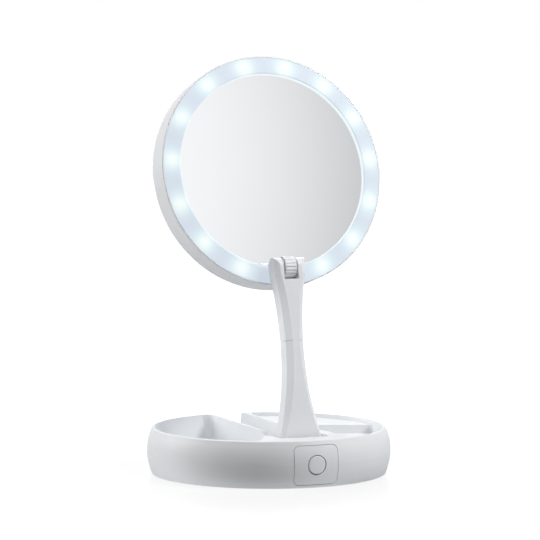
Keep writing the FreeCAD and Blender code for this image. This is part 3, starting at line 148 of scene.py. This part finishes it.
# Lamps
MIDDLE = (0, 0, 0.12)
SOFTBOXES = {
    "left_softbox": dict(place=(-0.953, 0.50, 0.50), side=0.7, power=7.8),
    "right_softbox": dict(place=(0.99, -0.47, 0.32), side=0.6, power=0.5),
    "top_softbox": dict(place=(0.0, 0.55, 1.2), side=0.9, power=3.4),
    "front_softbox": dict(place=(0.70, -0.65, 1.14), side=0.7, power=15.2),
}
SPOTS = {
    "arm_spot": dict(place=(-1.13, -0.45, 0.17), aim=(0, -0.044, 0.100),
                     cone=5.6, radius=0.06, power=21.0),
    "tray_spot": dict(place=(-0.60, -0.90, 0.65), aim=(-0.028, 0.064, 0.024),
                      cone=4.0, radius=0.02, power=11.5),
}


class Graph:
    """A node tree with short calls. A value is a constant or another node's output."""

    def __init__(self, tree):
        self.tree = tree
        tree.nodes.clear()

    def add(self, kind, settings=None, **inputs):
        """A node with its settings, and its inputs by name."""
        node = self.tree.nodes.new(kind)
        for key, value in (settings or {}).items():
            setattr(node, key, value)
        for key, value in inputs.items():
            self.fill(self.named(node, key.replace("_", " ")), value)
        return node

    def fill(self, socket, value):
        if isinstance(value, bpy.types.NodeSocket):
            self.tree.links.new(value, socket)
        else:
            socket.default_value = value

    @staticmethod
    def named(node, name):
        for socket in node.inputs:
            if socket.name.lower() == name.lower() and socket.enabled:
                return socket
        raise KeyError(f"{node.bl_idname} has no input {name}")

    def math(self, operation, first, second=0.0):
        node = self.add("ShaderNodeMath", {"operation": operation})
        self.fill(node.inputs[0], first)
        self.fill(node.inputs[1], second)
        return node.outputs[0]

    def measure(self, operation, first, second):
        """A number from two vectors, such as their distance or dot product."""
        node = self.add("ShaderNodeVectorMath", {"operation": operation})
        self.fill(node.inputs[0], first)
        self.fill(node.inputs[1], second)
        return node.outputs["Value"]

    def ramp(self, value, low, high, start=0.0, end=1.0):
        """A smooth step from start to end while the value goes from low to high."""
        node = self.add("ShaderNodeMapRange", {"interpolation_type": "SMOOTHSTEP"},
                        Value=value, From_Min=low, From_Max=high, To_Min=start, To_Max=end)
        return node.outputs["Result"]

    def between(self, factor, first, second):
        """One of two numbers, or between them."""
        return self.add("ShaderNodeMix", {"data_type": "FLOAT"},
                        Factor=factor, A=first, B=second).outputs[0]

    def blend(self, factor, first, second):
        """One of two colours, or between them."""
        node = self.add("ShaderNodeMix", {"data_type": "RGBA"}, Factor=factor)
        colour_inputs = [socket for socket in node.inputs if socket.type == "RGBA"]
        for socket, value in zip(colour_inputs, (first, second)):
            self.fill(socket, value)
        return next(socket for socket in node.outputs if socket.type == "RGBA")

    def mix_shaders(self, factor, first, second):
        node = self.add("ShaderNodeMixShader", Fac=factor)
        self.fill(node.inputs[1], first.outputs[0])
        self.fill(node.inputs[2], second.outputs[0])
        return node

    def principled(self, **inputs):
        return self.add("ShaderNodeBsdfPrincipled", **inputs)

    def noise(self, place, scale, detail=2.0):
        return self.add("ShaderNodeTexNoise", Vector=place, Scale=scale, Detail=detail).outputs["Fac"]

    def place(self):
        return self.add("ShaderNodeTexCoord").outputs["Object"]

    def surface(self, shader):
        self.add("ShaderNodeOutputMaterial", Surface=shader.outputs[0])


def new_material(name):
    material = bpy.data.materials.new(name)
    material.use_nodes = True
    return material, Graph(material.node_tree)


def moulded(name, dark, light, rough, metallic=0.0, grain=900.0, grain_depth=0.03, shade=None):
    """A moulded or coated surface: a soft change of tone, an uneven gloss and a fine grain.

    A shade is a function that paints shade into the graph's tone as a darker part.
    """
    material, graph = new_material(name)
    place = graph.place()
    tone = graph.blend(graph.ramp(graph.noise(place, 22.0), 0.35, 0.65), dark, light)
    if shade:
        tone = shade(graph, place, tone)
    gloss = graph.ramp(graph.noise(place, 60.0, 3.0), 0.3, 0.7, *rough)
    bump = graph.add("ShaderNodeBump", Strength=grain_depth, Distance=0.2 * MM,
                     Height=graph.noise(place, grain, 3.0))
    graph.surface(graph.principled(Base_Color=tone, Roughness=gloss, Metallic=metallic,
                                   Normal=bump.outputs[0]))
    return material


def painted_groove_shade(graph, place, tone):
    """Painted shade: a darker tone in the groove at the sides of the arm."""
    side = graph.math("ABSOLUTE", graph.add("ShaderNodeSeparateXYZ", Vector=place).outputs["X"])
    along = graph.math("SUBTRACT", graph.measure("DOT_PRODUCT", place, ARM_DIRECTION), GROOVE_REACH)
    groove = graph.ramp(graph.math("ABSOLUTE", along), *GROOVE_EDGE)
    painted_shade_amount = graph.math("MULTIPLY", groove, graph.ramp(side, *GROOVE_SIDE, 0.1, 0.9))
    # Painted shade: the groove's band turns darker on the arm's sides
    return graph.blend(painted_shade_amount, tone, GROOVE_PAINTED_SHADE)


def mirror_glass():
    """Silvered glass with faint smears."""
    material, graph = new_material("mirror_glass")
    place = graph.place()
    smear = graph.ramp(graph.noise(place, 18.0, 4.0), 0.4, 0.75, 0.0, 0.02)
    tone = graph.blend(graph.ramp(graph.noise(place, 9.0), 0.3, 0.7),
                       (0.92, 0.935, 0.955, 1), (0.93, 0.945, 0.965, 1))
    graph.surface(graph.principled(Base_Color=tone, Metallic=1.0, Roughness=smear))
    return material


def diffuser():
    """Opal ring with a bright spot over every light chip."""
    material, graph = new_material("diffuser")
    place = graph.add("ShaderNodeMapping", {"vector_type": "TEXTURE"}, Vector=graph.place(),
                      Location=HEAD_CENTRE, Rotation=(math.pi / 2 - HEAD_TILT, 0, 0)).outputs[0]
    axes = graph.add("ShaderNodeSeparateXYZ", Vector=place)
    x = axes.outputs["X"]
    y = axes.outputs["Y"]

    def sum_of_squares(first, second):
        return graph.math("ADD", graph.math("MULTIPLY", first, first),
                          graph.math("MULTIPLY", second, second))

    angle = graph.math("ARCTAN2", x, graph.math("MULTIPLY", y, -1.0))
    radius = graph.math("SQRT", sum_of_squares(x, y))
    along = graph.math("MULTIPLY", graph.math("PINGPONG", angle, CHIP_STEP / 2), CHIP_RING)
    across = graph.math("SUBTRACT", radius, CHIP_RING)
    away = sum_of_squares(along, across)
    clear_of_hinge = graph.ramp(graph.math("ABSOLUTE", angle), CHIP_STEP * 0.4, CHIP_STEP * 0.7)

    def spread(width):
        fade = graph.math("EXPONENT", graph.math("MULTIPLY", away, -1 / width ** 2))
        return graph.math("MULTIPLY", fade, clear_of_hinge)

    haze = graph.ramp(graph.noise(place, 40.0), 0.3, 0.7, 0.0, 0.06)
    halo = graph.blend(graph.math("ADD", spread(HALO_WIDTH), haze), GLOW_BETWEEN, GLOW_HALO)
    glow = graph.blend(spread(SPOT_WIDTH), halo, GLOW_SPOT)
    light = graph.blend(graph.ramp(radius, *WALL_FADE), glow, GLOW_WALL)
    graph.surface(graph.principled(Base_Color=(0.24, 0.25, 0.27, 1), Roughness=0.5,
                                   Specular_IOR_Level=0.2, Emission_Color=light,
                                   Emission_Strength=1.0))
    return material


def light_chip():
    """A lit chip with an uneven tint."""
    material, graph = new_material("light_chip")
    tint = graph.blend(graph.noise(graph.place(), 700.0),
                       (0.85, 0.97, 1.0, 1), (0.95, 1.0, 1.0, 1))
    graph.surface(graph.principled(Base_Color=(0.9, 0.9, 0.8, 1), Roughness=0.4,
                                   Emission_Color=tint, Emission_Strength=2.0))
    return material


def soften(piece, width):
    """Round the sharp edges of a moulded piece."""
    weld = piece.modifiers.new("weld", "WELD")
    weld.merge_threshold = WELD_GAP
    edges = piece.modifiers.new("edges", "BEVEL")
    edges.width = width
    edges.segments = 3
    edges.limit_method = "ANGLE"
    edges.angle_limit = EDGE_ANGLE
    shading = piece.modifiers.new("shading", "WEIGHTED_NORMAL")
    shading.weight = 80
    shading.keep_sharp = False


def dress_pieces():
    """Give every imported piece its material, and the moulded ones their soft edges."""
    materials = {name: moulded(name, **finish) for name, finish in FINISHES.items()}
    materials["diffuser"] = diffuser()
    materials["light_chip"] = light_chip()
    materials["mirror_glass"] = mirror_glass()
    # The arm's white plastic carries painted shade in its groove
    arm_plastic_painted_shade = moulded("arm_plastic_painted_shade", **PLASTIC_FINISH, shade=painted_groove_shade)
    for part in frame["record"]["subparts"]:
        name = part["node"]
        slot = part["material_slot"]
        piece = nodes[name]
        piece.data.materials.clear()
        piece.data.materials.append(arm_plastic_painted_shade if name == "arm_front_shell" else materials[slot])
        if slot in ROUNDED_SLOTS:
            soften(piece, EDGE_WIDTHS.get(name, USUAL_EDGE))


def grey(level):
    return (level, level, level, 1)


def floor_seen(graph, place, from_middle):
    """White floor with a faint sheen."""
    tone = graph.blend(graph.noise(place, 6.0), grey(0.14), grey(0.16))
    sweep = graph.ramp(from_middle, *GLOW_SWEEP, FLOOR_GLOW, FLOOR_FAR_GLOW)
    pale = graph.principled(Base_Color=tone, Roughness=0.6, Specular_IOR_Level=0.0,
                            Emission_Color=WHITE, Emission_Strength=sweep)
    sheen = graph.add("ShaderNodeBsdfGlossy", Color=WHITE, Roughness=0.10)
    return graph.mix_shaders(FLOOR_SHEEN, pale, sheen)


def floor_bounce(graph, place, from_middle):
    """Grey floor with a painted pool of light, a patch of painted shade and a painted strip of light.
    """
    from_painted_pool = graph.measure("DISTANCE", place, PAINTED_POOL_PLACE)
    from_painted_shade = graph.measure("DISTANCE", place, PAINTED_SHADE_PLACE)
    # Painted pool of light: the floor glows brighter at the left
    painted_pool = graph.ramp(from_painted_pool, *PAINTED_POOL_FADE, FLOOR_LIFT, FLOOR_LIFT + FLOOR_PAINTED_POOL)
    # Painted strip of light: the floor glows just round the base, near the painted shade
    painted_strip = graph.math("MULTIPLY", graph.ramp(from_middle, *PAINTED_STRIP_FADE, 0.0, FLOOR_PAINTED_STRIP),
                      graph.ramp(from_painted_shade, *PAINTED_STRIP_SPREAD))
    # Painted shade: the floor's grey turns dark in front of the base
    tone = graph.blend(graph.ramp(from_painted_shade, *PAINTED_SHADE_FADE), grey(FLOOR_PAINTED_SHADE), grey(FLOOR_BOUNCE))
    return graph.principled(Base_Color=tone, Roughness=0.9, Specular_IOR_Level=0.0,
                            Emission_Color=WHITE,
                            Emission_Strength=graph.math("ADD", painted_pool, painted_strip))


def studio_floor():
    """A wide pale floor, white to the camera and grey to the object above it."""
    side = FLOOR_HALF_SIDE
    mesh = bpy.data.meshes.new("studio_floor")
    corners = [(-side, -side, 0), (side, -side, 0), (side, side, 0), (-side, side, 0)]
    mesh.from_pydata(corners, [], [(0, 1, 2, 3)])
    floor = bpy.data.objects.new("studio_floor", mesh)
    scene.collection.objects.link(floor)
    material, graph = new_material("studio_floor")
    place = graph.place()
    from_middle = graph.measure("DISTANCE", place, (0, 0, 0))
    camera_ray = graph.add("ShaderNodeLightPath").outputs["Is Camera Ray"]
    graph.surface(graph.mix_shaders(camera_ray, floor_bounce(graph, place, from_middle),
                                    floor_seen(graph, place, from_middle)))
    mesh.materials.append(material)


def studio_world():
    """Dim surroundings, a white backdrop behind and a bright card for the mirror to face."""
    world = bpy.data.worlds.new("studio")
    scene.world = world
    world.use_nodes = True
    graph = Graph(world.node_tree)
    direction = graph.add("ShaderNodeTexCoord").outputs["Generated"]
    rays = graph.add("ShaderNodeLightPath").outputs

    def near(towards, fade, start=0.0, end=1.0):
        """From start to end between two angles, in degrees, from a direction."""
        low, high = (math.cos(math.radians(angle)) for angle in fade)
        return graph.ramp(graph.measure("DOT_PRODUCT", direction, towards), low, high, start, end)

    around = graph.between(rays["Is Glossy Ray"], SURROUND, MIRRORED)
    level = near(BACKDROP_DIRECTION, BACKDROP_FADE, around, BACKDROP)
    card = near(CARD_DIRECTION, CARD_FADE, CARD_EDGE, CARD_MIDDLE)
    lit = graph.between(near(CARD_DIRECTION, CARD_BORDER), level, card)
    strength = graph.between(rays["Is Camera Ray"], lit, 1.0)
    background = graph.add("ShaderNodeBackground", Color=WHITE, Strength=strength)
    graph.add("ShaderNodeOutputWorld", Surface=background.outputs[0])


def aimed_lamp(name, light, place, aim, power):
    light.energy = power
    lamp = bpy.data.objects.new(name, light)
    scene.collection.objects.link(lamp)
    lamp.location = place
    lamp.rotation_mode = "QUATERNION"
    lamp.rotation_quaternion = (Vector(aim) - Vector(place)).to_track_quat("-Z", "Y")
    lamp.visible_camera = False


def softbox(name, place, side, power):
    """A square light aimed at the middle of the object."""
    light = bpy.data.lights.new(name, "AREA")
    light.shape = "SQUARE"
    light.size = side
    aimed_lamp(name, light, place, MIDDLE, power)


def soft_spot(name, place, aim, cone, radius, power):
    """A narrow beam that fades out from its middle."""
    light = bpy.data.lights.new(name, "SPOT")
    light.spot_size = math.radians(cone)
    light.spot_blend = 1.0
    light.shadow_soft_size = radius
    aimed_lamp(name, light, place, aim, power)


def studio_camera():
    """The camera that fits the photograph."""
    back = Vector((math.sin(CAMERA_AZIMUTH) * math.cos(CAMERA_ELEVATION),
                   -math.cos(CAMERA_AZIMUTH) * math.cos(CAMERA_ELEVATION),
                   math.sin(CAMERA_ELEVATION)))
    data = bpy.data.cameras.new("camera")
    data.sensor_width = SENSOR
    data.lens = FOCAL_PIXELS * SENSOR / IMAGE_SIDE
    data.shift_x = (IMAGE_SIDE / 2 - PRINCIPAL_X) / IMAGE_SIDE
    data.shift_y = (PRINCIPAL_Y - IMAGE_SIDE / 2) / IMAGE_SIDE
    camera = bpy.data.objects.new("camera", data)
    scene.collection.objects.link(camera)
    camera.location = CAMERA_TARGET + back * CAMERA_DISTANCE
    camera.rotation_mode = "QUATERNION"
    camera.rotation_quaternion = (-back).to_track_quat("-Z", "Y")
    scene.camera = camera


dress_pieces()
studio_floor()
studio_world()
for lamp_name, lamp_values in SOFTBOXES.items():
    softbox(lamp_name, **lamp_values)
for lamp_name, lamp_values in SPOTS.items():
    soft_spot(lamp_name, **lamp_values)
studio_camera()
scene.view_settings.view_transform = "Standard"
